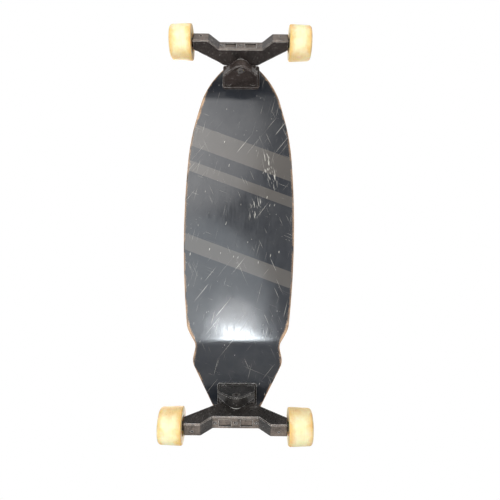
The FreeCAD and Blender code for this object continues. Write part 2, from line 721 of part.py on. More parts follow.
def spring_turn(angle):
    """Point and direction of the spring's centre line, by the angle wound from the deck's end."""
    radius = value("size.spring_radius")
    low = -value(f"{TOWER_FACE} + size.recess_depth / 2")
    high = value(f"{CHAMBER_FLOOR} - size.spring_wire / 2 - size.loose_clearance")
    wound = 2 * math.pi * value("size.spring_turns")
    rise = (high - low) / wound
    point = FreeCAD.Vector(-radius * math.cos(angle), -radius * math.sin(angle), low + rise * angle)
    way = FreeCAD.Vector(radius * math.sin(angle), -radius * math.cos(angle), rise).normalize()
    return point, way, wound


def make_spring(label, sign):
    """Torsion spring: turns about the kingpin with a straight leg in the pedestal and one in the hanger."""
    leg = value("size.spring_leg")
    wire = value("size.spring_wire")
    start, start_way, wound = spring_turn(0)
    quarters = round(wound / (math.pi / 2))
    angles = [wound * step / quarters for step in range(quarters + 1)]
    stations = [spring_turn(angle)[:2] for angle in angles]
    flat_start = FreeCAD.Vector(start_way.x, start_way.y, 0).normalize()
    end, end_way = stations[-1]
    flat_end = FreeCAD.Vector(end_way.x, end_way.y, 0).normalize()
    stations[0] = (start, flat_start)
    stations[-1] = (end, flat_end)
    edges = [Part.LineSegment(start - flat_start * leg, start).toShape()]
    for (point, way), (following, following_way) in zip(stations, stations[1:]):
        edges += biarc(point, way, following, following_way)
    edges.append(Part.LineSegment(end, end + flat_end * leg).toShape())
    path = Part.Wire(edges)
    ring = Part.Wire([Part.Circle(start - flat_start * leg, flat_start, wire / 2).toShape()])
    tube = path.makePipeShell([ring], True, False)
    solid = tube if tube.ShapeType == "Solid" else Part.Solid(tube)
    gap = min((spring_turn(angle)[0] - spring_turn(angle + 2 * math.pi)[0]).Length
              for angle in angles if angle + 2 * math.pi <= wound) - wire
    print(f"{label}: length {path.Length:.1f} mm, least gap between turns {gap:.2f} mm,"
          f" volume {solid.Volume / (path.Length * math.pi * wire * wire / 4):.4f} of section times length")
    piece = doc.addObject("Part::Feature", label)
    piece.Label = label
    piece.Shape = solid
    piece.Placement = pivot_frame(sign)
    return piece


# Pieces that turn with the hanger

def make_hanger(label, sign):
    body = new_body(label, pivot_frame(sign))
    half = (("size.rake - size.centre_rise", "size.centre_half"),
            ("size.rake + size.foot_drop", "size.foot_half"),
            ("size.rake + size.foot_drop", "size.hanger_width / 2"),
            ("size.rake - size.arm_rise", "size.hanger_width / 2"),
            ("-size.neck_rise", "size.neck_half"))
    outline = new_sketch(body, offset={"z": "-size.hanger_inner"})
    polygon(outline, list(half) + [(x, f"-({y})") for x, y in reversed(half)])
    depth = "size.hanger_inner + size.hanger_outer"
    extrude(body, outline, depth)
    corners = [(value(x), value(y)) for x, y in half]

    def upright(edge, chosen):
        return any(upright_at(x, turn * y)(edge) for x, y in chosen for turn in (1, -1))

    fillet(body, "size.hanger_corner_radius", lambda edge: upright(edge, corners[:2] + corners[4:]))
    fillet(body, "size.arm_end_radius", lambda edge: upright(edge, corners[2:4]))
    faces = (-value("size.hanger_inner"), value("size.hanger_outer"))

    def on_faces(edge):
        heights = [vertex.Point.z for vertex in edge.Vertexes]
        return any(all(near(height, face) for height in heights) for face in faces)

    chamfer(body, "size.hanger_edge_chamfer", on_faces)
    hub = new_sketch(body, offset={"z": "-size.hanger_inner"})
    circle(hub, "size.hub_radius")
    extrude(body, hub, depth)

    boss_length = "size.wheel_gap + size.bearing_start - size.speed_washer_thickness"
    for side in ("", "-"):
        boss = new_sketch(body, "XZ_Plane", {"z": f"-({side}size.hanger_width / 2)"})
        circle(boss, "size.axle_boss_radius", ("size.rake", "0"))
        extrude(body, boss, boss_length, back=(side == ""))
        bore = new_sketch(body, "XZ_Plane", {"z": f"-({side}(size.hanger_width / 2 + {boss_length}))"})
        circle(bore, "size.axle_diameter / 2 + size.fit_clearance", ("size.rake", "0"))
        carve(body, bore, f"{boss_length} + size.axle_depth - size.wheel_gap", along=(side == ""))
        screw = new_sketch(body, "YZ_Plane", {"z": "size.rake + size.foot_drop"})
        circle(screw, "size.screw_diameter / 2 + size.fit_clearance", (f"{side}size.screw_half", "0"))
        carve(body, screw, "size.foot_drop")

    strip_middle = "(size.hanger_outer - size.hanger_inner) / 2"
    edge_level = "size.rake - size.centre_rise"
    pockets = new_sketch(body, "YZ_Plane", {"z": edge_level})
    for side in ("", "-"):
        near_edge = f"{side}size.pocket_start"
        far_edge = f"{side}(size.pocket_start + size.pocket_width)"
        rectangle(pockets, near_edge, far_edge, f"{strip_middle} - size.pocket_height / 2",
                  f"{strip_middle} + size.pocket_height / 2")
    carve(body, pockets, "size.pocket_depth")
    eyes = new_sketch(body, "YZ_Plane", {"z": f"{edge_level} + size.eye_depth"})
    for spot in ("-size.eye_span / 2", "0", "size.eye_span / 2"):
        circle(eyes, "size.eye_radius", (spot, strip_middle))
        circle(eyes, "size.eye_pin_radius", (spot, strip_middle))
    carve(body, eyes, "2 * size.eye_depth")

    chamber = new_sketch(body, offset={"z": "-size.hanger_inner"})
    circle(chamber, "size.chamber_radius")
    carve(body, chamber, "size.chamber_depth", along=True)
    slot = new_sketch(body, offset={"z": "-size.hanger_inner"})
    rectangle(slot, f"size.spring_radius - {SLOT_HALF}", f"size.spring_radius + {SLOT_HALF}",
              "0", "size.spring_leg + size.loose_clearance")
    carve(body, slot, "size.chamber_depth", along=True)
    bore = new_sketch(body, offset={"z": "-size.hanger_inner"})
    circle(bore, "size.kingpin_thread / 2 + size.fit_clearance")
    carve(body, bore, depth, along=True)
    return body


def make_kingpin(label, sign):
    body = new_body(label, pivot_frame(sign))
    head_end = f"-({HEAD_SEAT} + size.kingpin_head_height)"
    thread_end = f"{NUT_SEAT} + size.kingpin_nut_height + size.kingpin_end"
    revolve(body, [(("0", head_end), ("size.kingpin_head_diameter / 2", head_end),
                    ("size.kingpin_head_diameter / 2", f"-{HEAD_SEAT}"),
                    ("size.kingpin_diameter / 2", f"-{HEAD_SEAT}"),
                    ("size.kingpin_diameter / 2", CHAMBER_FLOOR),
                    ("size.kingpin_thread / 2", CHAMBER_FLOOR),
                    ("size.kingpin_thread / 2", thread_end), ("0", thread_end))])
    chamfer(body, "size.kingpin_end / 2", ring_at(value("size.kingpin_thread / 2"), value(thread_end)))
    fillet(body, "size.kingpin_end / 2", ring_at(value("size.kingpin_head_diameter / 2"), value(head_end)))
    socket = new_sketch(body, offset={"z": head_end})
    hexagon(socket, "size.kingpin_socket_flats")
    carve(body, socket, "size.kingpin_socket_depth", along=True)
    return body


def make_ring(label, placement, inner, outer, spans):
    """Plain rings between pairs of heights."""
    body = new_body(label, placement)
    revolve(body, [((inner, low), (outer, low), (outer, high), (inner, high)) for low, high in spans])
    return body


def make_nut(label, placement, flats, bore, seat, height):
    """Lock nut: a hexagon with a round collar over its locking ring."""
    body = new_body(label, placement)
    sketch = new_sketch(body, offset={"z": seat})
    hexagon(sketch, flats)
    circle(sketch, bore)
    extrude(body, sketch, f"size.nut_hexagon_share * {height}")
    collar_radius = f"size.nut_collar_share * {flats} / 2"
    collar = new_sketch(body, offset={"z": f"{seat} + size.nut_hexagon_share * {height}"})
    circle(collar, collar_radius)
    circle(collar, bore)
    extrude(body, collar, f"(1 - size.nut_hexagon_share) * {height}")
    top = value(f"{seat} + {height}")
    fillet(body, "size.nut_collar_rounding", ring_at(value(collar_radius), top))
    return body


def make_axles(label, sign):
    body = new_body(label, pivot_frame(sign))
    length = f"{BEARING_END} + size.speed_washer_thickness + size.axle_nut_height + size.axle_end"
    for side in ("", "-"):
        start = f"{side}({WHEEL_INNER} - size.axle_depth)"
        sketch = new_sketch(body, "XZ_Plane", {"z": f"-({start})"})
        circle(sketch, "size.axle_diameter / 2", ("size.rake", "0"))
        extrude(body, sketch, f"size.axle_depth + {length}", back=(side == ""))
    reach = value(f"{WHEEL_INNER} + {length}")
    chamfer(body, "size.axle_end / 2",
            lambda edge: all(near(abs(vertex.Point.y), reach) for vertex in edge.Vertexes))
    return body


def make_axle_screws(label, sign):
    body = new_body(label, pivot_frame(sign))
    tip = "size.rake + size.axle_diameter / 2 + size.running_gap"
    shanks = new_sketch(body, "YZ_Plane", {"z": tip})
    sockets = new_sketch(body, "YZ_Plane", {"z": f"{tip} + size.screw_length"})
    for side in ("", "-"):
        circle(shanks, "size.screw_diameter / 2", (f"{side}size.screw_half", "0"))
        hexagon(sockets, "size.screw_socket_flats", (f"{side}size.screw_half", "0"))
    extrude(body, shanks, "size.screw_length")
    carve(body, sockets, "size.screw_socket_depth")
    return body


# Wheels and bearings, in the wheel frame

def bearing_spans():
    """Start and end of both bearings along the axle."""
    first = "size.bearing_start"
    second = "(size.bearing_start + size.bearing_width + size.spacer_length)"
    return [(start, f"({start} + size.bearing_width)") for start in (first, second)]


def groove_spots():
    return [("size.ball_pitch_diameter / 2", f"({low} + {high}) / 2") for low, high in bearing_spans()]


def make_tyre(label, placement):
    body = new_body(label, placement)
    bore = "size.wheel_hub_radius + size.fit_clearance"
    tread = "size.wheel_diameter / 2"
    outer = "size.wheel_diameter / 2 - size.tread_drop"
    revolve(body, [((bore, "size.bearing_start"), ("size.inner_mouth_radius", "0"), (tread, "0"),
                    (tread, "size.tread_flat"), (outer, "size.wheel_width"),
                    ("size.outer_mouth_radius", "size.wheel_width"), (bore, BEARING_END))])
    width = value("size.wheel_width")
    fillet(body, "size.inner_lip_radius", ring_at(value(tread), 0))
    fillet(body, "size.outer_lip_radius", ring_at(value(outer), width))
    fillet(body, "size.mouth_edge_radius", ring_at(value("size.inner_mouth_radius"), 0))
    fillet(body, "size.mouth_edge_radius", ring_at(value("size.outer_mouth_radius"), width))
    return body


def make_wheel_hub(label, placement):
    body = new_body(label, placement)
    seat = "size.bearing_diameter / 2 + size.fit_clearance"
    shoulder = "(size.bearing_diameter + size.outer_race_bore) / 4"
    (start, first), (second, end) = bearing_spans()
    revolve(body, [((seat, start), ("size.wheel_hub_radius", start), ("size.wheel_hub_radius", end),
                    (seat, end), (seat, second), (shoulder, second), (shoulder, first), (seat, first))])
    return body


def make_outer_races(label, placement):
    body = new_body(label, placement)
    outer = "size.bearing_diameter / 2"
    inner = "size.outer_race_bore / 2"
    lip = "size.inner_race_diameter / 2 + size.loose_clearance"
    outlines = []
    for low, high in bearing_spans():
        lower = f"{low} + size.shield_inset"
        upper = f"{high} - size.shield_inset"
        outlines.append((
            (inner, low), (outer, low), (outer, high), (inner, high),
            (inner, upper), (lip, upper), (lip, f"{upper} - size.shield_thickness"),
            (inner, f"{upper} - size.shield_thickness"), (inner, f"{lower} + size.shield_thickness"),
            (lip, f"{lower} + size.shield_thickness"), (lip, lower), (inner, lower)))
    revolve(body, outlines)
    groove(body, groove_spots(), "size.groove_radius")
    return body


def make_inner_races(label, placement):
    inner = "size.axle_diameter / 2 + size.fit_clearance"
    body = make_ring(label, placement, inner, "size.inner_race_diameter / 2", bearing_spans())
    groove(body, groove_spots(), "size.groove_radius")
    return body


def make_ball_sets(label, placement):
    """Balls and cage of both bearings."""
    ball = value("size.ball_diameter / 2")
    pitch = value("size.ball_pitch_diameter / 2")
    wall = value("size.cage_wall")
    length = value("size.cage_length")
    pocket = ball + value("size.loose_clearance") / 2
    solids = []
    for radius, middle in groove_spots():
        height = value(middle)
        foot = FreeCAD.Vector(0, 0, height - length / 2)
        cage = Part.makeCylinder(pitch + wall / 2, length, foot)
        cage = cage.cut(Part.makeCylinder(pitch - wall / 2, length, foot))
        for step in range(BALLS_PER_BEARING):
            turn = 2 * math.pi * step / BALLS_PER_BEARING
            way = FreeCAD.Vector(math.cos(turn), math.sin(turn), 0)
            centre = way * pitch + FreeCAD.Vector(0, 0, height)
            solids.append(Part.makeSphere(ball, centre))
            cage = cage.cut(Part.makeCylinder(pocket, 2 * wall, centre - way * wall, way))
        solids += cage.Solids
    piece = doc.addObject("Part::Feature", label)
    piece.Label = label
    piece.Shape = Part.makeCompound(solids)
    piece.Placement = placement
    return piece


def make_truck(end, sign):
    """All pieces of one truck but its wheels."""
    pivot = pivot_frame(sign)
    washer_bore = "size.kingpin_thread / 2 + size.running_clearance"
    return [
        make_baseplate(f"{end}_baseplate", sign),
        make_inserts(f"{end}_threaded_inserts", sign),
        make_bolts(f"{end}_deck_bolts", sign),
        make_bush(f"{end}_pivot_bush", sign),
        make_thrust_washer(f"{end}_thrust_washer", sign),
        make_spring(f"{end}_torsion_spring", sign),
        make_hanger(f"{end}_hanger", sign),
        make_kingpin(f"{end}_kingpin", sign),
        make_ring(f"{end}_kingpin_washer", pivot, washer_bore, "size.kingpin_washer_diameter / 2",
                  [("size.hanger_outer", NUT_SEAT)]),
        make_nut(f"{end}_kingpin_nut", pivot, "size.kingpin_nut_flats",
                 "size.kingpin_thread / 2 + size.fit_clearance", NUT_SEAT, "size.kingpin_nut_height"),
        make_axles(f"{end}_axles", sign),
        make_axle_screws(f"{end}_axle_screws", sign),
    ]


def make_wheel(name, frame):
    """All pieces of one wheel and what holds it on its axle."""
    inner_end = "size.bearing_start - size.speed_washer_thickness"
    outer_end = f"{BEARING_END} + size.speed_washer_thickness"
    spacer = ("(size.bearing_start + size.bearing_width)",
              "(size.bearing_start + size.bearing_width + size.spacer_length)")
    loose_bore = "size.axle_diameter / 2 + size.running_clearance"
    return [
        make_tyre(f"{name}_tyre", frame),
        make_wheel_hub(f"{name}_wheel_hub", frame),
        make_outer_races(f"{name}_outer_races", frame),
        make_ball_sets(f"{name}_ball_sets", frame),
        make_inner_races(f"{name}_inner_races", frame),
        make_ring(f"{name}_spacer", frame, loose_bore, "size.spacer_diameter / 2", [spacer]),
        make_ring(f"{name}_speed_washers", frame, loose_bore, "size.speed_washer_diameter / 2",
                  [(inner_end, "size.bearing_start"), (BEARING_END, outer_end)]),
        make_nut(f"{name}_axle_nut", frame, "size.axle_nut_flats",
                 "size.axle_diameter / 2 + size.fit_clearance", outer_end, "size.axle_nut_height"),
    ]


pieces = [make_deck(), make_grip()]
for end, sign in (("front", 1), ("rear", -1)):
    pieces += make_truck(end, sign)
    for side in (1, -1):
        hand = "left" if side * sign > 0 else "right"
        pieces += make_wheel(f"{end}_{hand}", wheel_frame(sign, side))
doc.recompute()

for item in doc.Objects:
    if "Invalid" in item.State or "Error" in item.State:
        raise RuntimeError(f"{item.Label} did not build")
for piece in pieces:
    if piece.Shape.isNull() or not piece.Shape.isValid():
        raise RuntimeError(f"{piece.Label} has no sound shape")

os.makedirs("parts", exist_ok=True)
for piece in pieces:
    piece.Shape.exportStep(f"parts/{piece.Label}.step")
print(f"{len(pieces)} sub-parts, {sum(len(piece.Shape.Solids) for piece in pieces)} solids")
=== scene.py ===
"""Looks of the longboard: worn lacquer, bare plies, dusty castings and yellowed urethane, with light and shade
painted into the castings and the wheels.

All form is in the CAD nodes. Here they get their materials, the two centring springs are copied as pieces of their
own, and the floor, the lamps, the world and the camera are set up. Lengths are in metres, and colours are linear.
"""
import json
import math
from functools import reduce

import bpy
from mathutils import Matrix, Vector


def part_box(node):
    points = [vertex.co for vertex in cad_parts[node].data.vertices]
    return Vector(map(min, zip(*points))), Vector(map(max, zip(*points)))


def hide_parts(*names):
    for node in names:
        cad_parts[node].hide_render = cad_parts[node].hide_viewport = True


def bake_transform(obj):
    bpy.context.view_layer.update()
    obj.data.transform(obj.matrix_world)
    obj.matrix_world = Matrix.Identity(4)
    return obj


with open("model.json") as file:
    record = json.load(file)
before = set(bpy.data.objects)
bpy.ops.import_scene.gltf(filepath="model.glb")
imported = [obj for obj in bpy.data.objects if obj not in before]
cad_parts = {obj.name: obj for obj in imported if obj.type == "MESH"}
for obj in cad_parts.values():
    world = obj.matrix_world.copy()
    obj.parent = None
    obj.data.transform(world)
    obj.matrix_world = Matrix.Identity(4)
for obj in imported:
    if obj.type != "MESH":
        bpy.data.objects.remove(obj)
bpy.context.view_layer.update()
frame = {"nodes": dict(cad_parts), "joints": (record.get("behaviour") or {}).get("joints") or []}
nodes = frame["nodes"]
joints = {joint["name"]: joint for joint in frame["joints"]}

# Deck in side view: a body that leans slightly, between two ends that are kicked up.
MOUNT_X, MOUNT_Z = 0.36449, 0.11067      # truck datum on the lower face
KICK = math.radians(8.0)
NOSE_KICK, TAIL_KICK = 0.065, 0.129      # datum to bend
BEND_RADIUS = 0.140                      # of the lower face
THICK = 0.011
LEAN = math.asin((TAIL_KICK - NOSE_KICK) * math.sin(KICK)
                 / (2 * MOUNT_X - (TAIL_KICK + NOSE_KICK) * math.cos(KICK)))
NOSE_BEND_X = MOUNT_X - NOSE_KICK * math.cos(KICK)
NOSE_BEND_Z = MOUNT_Z - NOSE_KICK * math.sin(KICK)
TAIL_BEND_X = TAIL_KICK * math.cos(KICK) - MOUNT_X

# Wheels: they stand on the floor, so the axle is as high as the tread's radius.
AXLE_X, _, AXLE_Z = joints["front_left_roll"]["pos_m"]
TREAD = AXLE_Z
TREAD_BLEND = (TREAD - 0.0035, TREAD - 0.0018)      # radii where the tread's colour starts and is full
WHEEL_IN, WHEEL_OUT = (corner.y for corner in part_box("front_left_tyre"))

# Printed bands: how far they slant, the blur of their edges, and the middle and half width of each along the board.
BAND_SLOPE = 0.36
BAND_BLUR = 0.0004
BANDS = ((0.176, 0.026), (0.104, 0.012), (-0.066, 0.018))

# Marks in the lacquer, with angles in degrees from the board's length.
HAIRLINE_WIDTH = 0.0013
HAIRLINES = (                            # angle, length, rarity, strength, seed
    (38, 0.10, 0.735, 0.8, 1.7),
    (-24, 0.06, 0.73, 0.6, 2.9),
    (14, 0.08, 0.73, 0.7, 4.1),
    (-68, 0.05, 0.74, 0.5, 5.3),
)
SCUFFED = (                              # angle, place, length, width
    (-14, (0.135, 0.066), 0.062, 0.016),
    (20, (0.05, 0.035), 0.034, 0.018),
)
KNOCKED_WIDTH = 0.025
KNOCKED = (                              # angle, place, length
    (-12, (-0.222, 0.103), 0.05),
    (12, (-0.222, -0.103), 0.05),
    (22, (0.275, -0.094), 0.06),
)
RIM_REACH = 0.010                        # from the deck's edge inward

# Colours of the deck
CHARCOAL, BAND_GREY = (0.0145, 0.0165, 0.0215), (0.084, 0.075, 0.067)
LACQUER_FILM, SCRATCHED = (0.062, 0.061, 0.060), (0.70, 0.66, 0.58)
STAIN_DARK, STAIN_LIGHT = (0.052, 0.033, 0.022), (0.085, 0.052, 0.032)
GRAIN_BROWN, RIM_SOIL = (0.16, 0.072, 0.03), (0.045, 0.035, 0.028)
VENEERS = (                              # share of the thickness where each starts, from the lower face up
    (0.0, (0.58, 0.37, 0.22)),
    (0.16, (0.66, 0.43, 0.25)),
    (0.30, (0.34, 0.155, 0.06)),
    (0.43, (0.56, 0.34, 0.17)),
    (0.57, (0.28, 0.12, 0.048)),
    (0.71, (0.50, 0.28, 0.13)),
    (0.86, (0.26, 0.11, 0.045)),
)
GRIT_TOP, GRIT_PIT = (0.034, 0.034, 0.036), (0.011, 0.011, 0.012)
GRIP_DUST, GRIP_GLINT = (0.085, 0.078, 0.07), (0.17, 0.17, 0.175)

# Colours and reach of the trucks' dust, wear and painted shade: the dust also carries painted light, and the worn
# specks and edges also carry painted glints and highlights
CAST_DUST_AND_LIGHT, CAST_PAINTED_SHADE = (0.27, 0.215, 0.175), (0.012, 0.010, 0.009)
CAST_WORN_AND_GLINT, CAST_BARE_EDGE_AND_HIGHLIGHT = (0.58, 0.55, 0.52), (0.88, 0.85, 0.81)
CAST_EDGE, CAST_REACH = 0.0012, 0.004
RUST, GRIME = (0.15, 0.062, 0.025), (0.11, 0.085, 0.06)

# Colours of the wheels
CREAM, CREAM_DEEP = (0.97, 0.89, 0.58), (0.94, 0.80, 0.45)
BROWN_STAIN_AND_SHADE, RING_STAIN = (0.83, 0.52, 0.18), (0.55, 0.34, 0.14)
FACE_PALE, FACE_BROWN = (0.85, 0.69, 0.38), (0.66, 0.44, 0.19)
WHEEL_SPECK = (0.22, 0.13, 0.06)
GLOW_DEPTH = (0.012, 0.006, 0.0018)      # how far red, green and blue go through urethane

# Stage
FLOOR_HALF, FLOOR_DROP, FLOOR_FADE = 1.6, 0.0005, 0.5
FLOOR_PALE, FLOOR_PALER = (0.80, 0.80, 0.79), (0.84, 0.84, 0.83)
WHITE, COOL, SKY = (1.0, 1.0, 1.0), (0.88, 0.95, 1.0), (0.97, 0.98, 1.0)
SKY_STRENGTH = 0.52
MIDDLE = (0.0, 0.0, 0.06)                # of the board, where the wide lamps point

# Camera of the photograph, fitted to wheels, trucks and deck
CAMERA_SPOT = (-0.1314, 0.0242, -0.8391)
CAMERA_TILT, CAMERA_ROLL = math.radians(5.46), math.radians(-0.61)
CAMERA_NEAR, CAMERA_FAR = 0.01, 60.0
SENSOR_MM = 36.0
FOCAL_PIXELS, PHOTO_PIXELS = 436.4, 500.0


class Graph:
    """The nodes of one material or world, written as calls that return sockets."""

    def __init__(self, owner):
        self.owner = owner
        owner.use_nodes = True
        self.tree = owner.node_tree
        self.tree.nodes.clear()
        self.made = {}

    def add(self, kind, **settings):
        node = self.tree.nodes.new(kind)
        for key, setting in settings.items():
            setattr(node, key, setting)
        return node

    def put(self, socket, given):
        """Link a socket, or set its constant. None leaves it as it is."""
        if isinstance(given, bpy.types.NodeSocket):
            self.tree.links.new(given, socket)
        elif given is not None:
            if socket.type == "RGBA":
                given = (*given, 1.0)
            socket.default_value = given

    def fill(self, node, *given):
        """Put values into a node's inputs, in their order."""
        for socket, one in zip(node.inputs, given):
            self.put(socket, one)
        return node.outputs

    def once(self, key, make):
        if key not in self.made:
            self.made[key] = make()
        return self.made[key]

    def place(self):
        """Position on the node as modelled."""
        return self.once("place", lambda: self.add("ShaderNodeTexCoord").outputs["Object"])

    def normal(self):
        """Normal of the mesh as modelled."""
        return self.once("normal", lambda: self.add("ShaderNodeTexCoord").outputs["Normal"])

    def split(self, vector):
        return self.fill(self.add("ShaderNodeSeparateXYZ"), vector)

    def join(self, x, y, z):
        return self.fill(self.add("ShaderNodeCombineXYZ"), x, y, z)[0]

    def math(self, operation, *given, clamp=False):
        return self.fill(self.add("ShaderNodeMath", operation=operation, use_clamp=clamp), *given)[0]

    def most(self, *given):
        """Highest of several numbers."""
        return reduce(lambda first, second: self.math("MAXIMUM", first, second), given)

    def vector_math(self, operation, first, second):
        """A number worked out from two vectors."""
        return self.fill(self.add("ShaderNodeVectorMath", operation=operation), first, second)["Value"]

    def span(self, given, low, high, to_low=0.0, to_high=1.0):
        """Smooth step from one range to another."""
        node = self.add("ShaderNodeMapRange", interpolation_type="SMOOTHSTEP")
        return self.fill(node, given, low, high, to_low, to_high)[0]

    def mapped(self, vector, scale, turn=0.0, shift=(0, 0, 0)):
        """A vector turned in plan, by degrees, and scaled and shifted."""
        node = self.add("ShaderNodeMapping")
        self.put(node.inputs["Vector"], vector)
        self.put(node.inputs["Location"], shift)
        self.put(node.inputs["Rotation"], (0, 0, math.radians(turn)))
        self.put(node.inputs["Scale"], scale)
        return node.outputs[0]

    def noise(self, vector, scale=1.0, detail=3.0, rough=0.5):
        """Soft lumps from 0 to 1, as many to the metre as the scale says."""
        node = self.add("ShaderNodeTexNoise")
        self.put(node.inputs["Vector"], vector)
        self.put(node.inputs["Scale"], scale)
        self.put(node.inputs["Detail"], detail)
        self.put(node.inputs["Roughness"], rough)
        return node.outputs["Fac"]

    def cells(self, vector, scale):
        """Distance to the nearest of many scattered points."""
        node = self.add("ShaderNodeTexVoronoi")
        self.put(node.inputs["Vector"], vector)
        self.put(node.inputs["Scale"], scale)
        return node.outputs["Distance"]

    def mix(self, share, first, second, kind="RGBA"):
        """Blend of two colours or, for kind VECTOR, of two vectors."""
        node = self.add("ShaderNodeMix", data_type=kind)
        ends = [socket for socket in node.inputs if socket.type == kind]
        self.put(node.inputs["Factor"], share)
        self.put(ends[-2], first)
        self.put(ends[-1], second)
        return next(socket for socket in node.outputs if socket.type == kind)

    def steps(self, share, stops):
        """Colours with hard edges between them, each from its own share on."""
        node = self.add("ShaderNodeValToRGB")
        band = node.color_ramp
        band.interpolation = "CONSTANT"
        while len(band.elements) < len(stops):
            band.elements.new(0.5)
        for element, (start, colour) in zip(band.elements, stops):
            element.position = start
            element.color = (*colour, 1.0)
        return self.fill(node, share)[0]

    def bump(self, height, strength, depth, under=None):
        """Normal of a relief, on the mesh's own normal or on the one under it."""
        node = self.add("ShaderNodeBump")
        self.put(node.inputs["Strength"], strength)
        self.put(node.inputs["Distance"], depth)
        self.put(node.inputs["Height"], height)
        self.put(node.inputs["Normal"], under)
        return node.outputs[0]

    def edges(self, radius, low, high):
        """1 on sharp outer edges, from how far a rounded normal leaves the flat one."""
        bevel = self.add("ShaderNodeBevel", samples=6)
        self.put(bevel.inputs["Radius"], radius)
        flat = self.add("ShaderNodeNewGeometry").outputs["Normal"]
        return self.span(self.vector_math("DOT_PRODUCT", bevel.outputs[0], flat), high, low)

    def openness(self, reach, inside=False):
        """1 where the piece itself isn't near, less in its hollows or, from inside, along its edges."""
        node = self.add("ShaderNodeAmbientOcclusion", samples=8, only_local=True, inside=inside)
        self.put(node.inputs["Distance"], reach)
        return node.outputs["AO"]

    def mix_shaders(self, share, first, second):
        return self.fill(self.add("ShaderNodeMixShader"), share, first, second)[0]

    def show(self, shader, kind="Material"):
        """End the graph with a shader, and return its material or world."""
        self.fill(self.add(f"ShaderNodeOutput{kind}"), shader)
        return self.owner

    def finish(self, colour, roughness, normal, metallic=0.0, **constants):
        """End a material with the usual shader, whose other constants are set by name."""
        shader = self.add("ShaderNodeBsdfPrincipled")
        self.put(shader.inputs["Base Color"], colour)
        self.put(shader.inputs["Roughness"], roughness)
        self.put(shader.inputs["Metallic"], metallic)
        self.put(shader.inputs["Normal"], normal)
        for key, constant in constants.items():
            self.put(shader.inputs[key.replace("_", " ")], constant)
        return self.show(shader.outputs[0])


def material_graph(name):
    return Graph(bpy.data.materials.new(name))


def dress(material, *names):
    """Give CAD nodes a material."""
    for name in names:
        slots = nodes[name].data.materials
        if len(slots) == 0:
            slots.append(material)
        for index in range(len(slots)):
            slots[index] = material


def ending(*tails):
    return [name for name in nodes if name.endswith(tails)]


# Deck: lacquered below, bare plies at the rim, dark stain under the grip sheet

def slanted(g, angle, length, width, seed):
    """Plan of the deck turned by an angle and drawn out, for marks that run one way."""
    turn = math.radians(angle)
    along = (math.cos(turn) / length, math.sin(turn) / length, 0)
    across = (-math.sin(turn) / width, math.cos(turn) / width, 0)
    return g.join(g.vector_math("DOT_PRODUCT", g.place(), along),
                  g.vector_math("DOT_PRODUCT", g.place(), across), seed)


def streaks(g, angle, length, rarity, seed):
    """Fine straight scratches at an angle across the deck, in loose patches."""
    lines = g.noise(slanted(g, angle, length, HAIRLINE_WIDTH, seed), detail=1.0, rough=0.3)
    patch = g.noise(g.mapped(g.place(), (9, 9, 9), shift=(seed, seed, 0)), detail=2.0)
    return g.math("MULTIPLY", g.span(lines, rarity, rarity + 0.05), g.span(patch, 0.44, 0.62))


def around(g, angle, place, length, width):
    """1 close to a place on the board, falling to 0, drawn out along an angle."""
    x, y = place
    turn = math.radians(angle)
    middle = ((x * math.cos(turn) + y * math.sin(turn)) / length,
              (y * math.cos(turn) - x * math.sin(turn)) / width, 0.0)
    away = g.vector_math("DISTANCE", slanted(g, angle, length, width, seed=0.0), middle)
    return g.span(away, 1.0, 0.3)


def deck_scratches(g):
    """All marks in the lacquer: hairlines, short nicks, scuffed patches, and pits."""
    hairlines = [g.math("MULTIPLY", streaks(g, angle, length, rarity, seed), strength)
                 for angle, length, rarity, strength, seed in HAIRLINES]
    chipped = g.noise(slanted(g, angle=-11, length=0.016, width=0.0019, seed=7.0), detail=1.0, rough=0.4)
    scuffed = g.most(*(around(g, *patch) for patch in SCUFFED))
    scuffs = g.math("MULTIPLY", g.span(chipped, 0.575, 0.655), scuffed)
    nicks = g.noise(slanted(g, angle=12, length=0.016, width=0.0032, seed=3.0), detail=1.0, rough=0.4)
    nicks = g.span(nicks, 0.755, 0.79)
    pitted = g.span(g.noise(g.place(), scale=15.0, detail=2.0), 0.54, 0.62)
    pits = g.math("MULTIPLY", g.span(g.cells(g.place(), scale=120.0), 0.085, 0.05), pitted)
    return g.most(*hairlines, nicks, scuffs, pits)


def deck_layer(g):
    """Share of the thickness above the lower face, from the three flats of the side view."""
    place = g.split(g.place())
    end_rise = MOUNT_Z - MOUNT_X * math.tan(KICK)
    body_rise = NOSE_BEND_Z - NOSE_BEND_X * math.tan(LEAN)
    flats = ((math.tan(KICK), end_rise), (-math.tan(KICK), end_rise), (math.tan(LEAN), body_rise))
    lower = g.most(*(g.math("MULTIPLY_ADD", place["X"], slope, rise) for slope, rise in flats))
    return g.math("DIVIDE", g.math("SUBTRACT", place["Z"], lower), THICK)


def deck_plies(g, grain):
    """Thin light and dark veneers along the rim, soiled in places."""
    veneers = g.steps(deck_layer(g), VENEERS)
    veneers = g.mix(g.span(grain, 0.3, 0.75, 0.0, 0.35), veneers, GRAIN_BROWN)
    soil = g.span(g.noise(g.place(), scale=34.0, detail=4.0, rough=0.65), 0.50, 0.68, 0.0, 0.7)
    return g.mix(soil, veneers, RIM_SOIL)


def deck_bands(g):
    """Broad straight bands of warm grey printed on charcoal."""
    place = g.split(g.place())
    along = g.math("MULTIPLY_ADD", place["Y"], BAND_SLOPE, place["X"])
    bands = []
    for middle, half in BANDS:
        away = g.math("ABSOLUTE", g.math("SUBTRACT", along, middle))
        bands.append(g.span(away, half + BAND_BLUR, half - BAND_BLUR))
    return g.mix(g.most(*bands), CHARCOAL, BAND_GREY)


